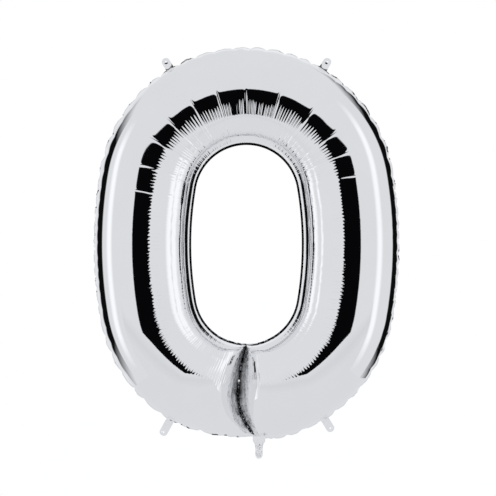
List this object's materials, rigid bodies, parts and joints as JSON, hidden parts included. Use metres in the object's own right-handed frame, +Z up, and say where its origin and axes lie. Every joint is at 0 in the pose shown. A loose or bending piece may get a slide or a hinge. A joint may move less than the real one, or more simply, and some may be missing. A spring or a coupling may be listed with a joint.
{
  "type": "foil number balloon",
  "caption": "Silver foil balloon in the shape of the number zero, inflated, with hanging tabs on its rim and a filling tail under the bottom seam.",
  "frame": {"origin": "middle of the tail's root on the lower edge of the outer rim, in the plane of the weld", "axes": "+Z up, with the zero standing upright; the front faces -Y; +X to the viewer's right"},
  "size_m": [0.671, 0.2084, 0.9057],
  "materials": {
    "foil": "mirror-bright metallised film",
    "welded_margin": "bright metallised film, finely puckered by the weld",
    "tab_film": "bright metallised film, lightly creased",
    "valve_film": "thin translucent polyethylene"
  },
  "bodies": {
    "ring": {"front_foil": "foil", "back_foil": "foil", "outer_seal_rim": "welded_margin", "inner_seal_rim": "welded_margin", "end_web": "welded_margin", "valve_front_film": "valve_film", "valve_back_film": "valve_film"},
    "top_left_tab": {"top_left_tab": "tab_film"},
    "top_right_tab": {"top_right_tab": "tab_film"},
    "bottom_left_tab": {"bottom_left_tab": "tab_film"},
    "bottom_right_tab": {"bottom_right_tab": "tab_film"},
    "tail": {"tail_front_film": "tab_film", "tail_back_film": "tab_film"}
  },
  "joints": [
    {"name": "top_left_tab_flex", "type": "hinge", "parent": "ring", "child": "top_left_tab", "pos_m": [-0.19612, 0, 0.81976], "axis": [0.8572, 0, 0.515], "range_deg": [-95, 95], "stiffness_Nm_per_rad": 0.001},
    {"name": "top_right_tab_flex", "type": "hinge", "parent": "ring", "child": "top_right_tab", "pos_m": [0.14092, 0, 0.81976], "axis": [0.8572, 0, -0.515], "range_deg": [-95, 95], "stiffness_Nm_per_rad": 0.001},
    {"name": "bottom_left_tab_flex", "type": "hinge", "parent": "ring", "child": "bottom_left_tab", "pos_m": [-0.20175, 0, 0.03451], "axis": [-0.8746, 0, 0.4848], "range_deg": [-95, 95], "stiffness_Nm_per_rad": 0.001},
    {"name": "bottom_right_tab_flex", "type": "hinge", "parent": "ring", "child": "bottom_right_tab", "pos_m": [0.14778, 0, 0.04295], "axis": [-0.8572, 0, -0.515], "range_deg": [-95, 95], "stiffness_Nm_per_rad": 0.001},
    {"name": "tail_flex", "type": "hinge", "parent": "ring", "child": "tail", "pos_m": [0, 0, -0.001], "axis": [1, 0, 0], "range_deg": [-85, 85], "stiffness_Nm_per_rad": 0.002}
  ]
}
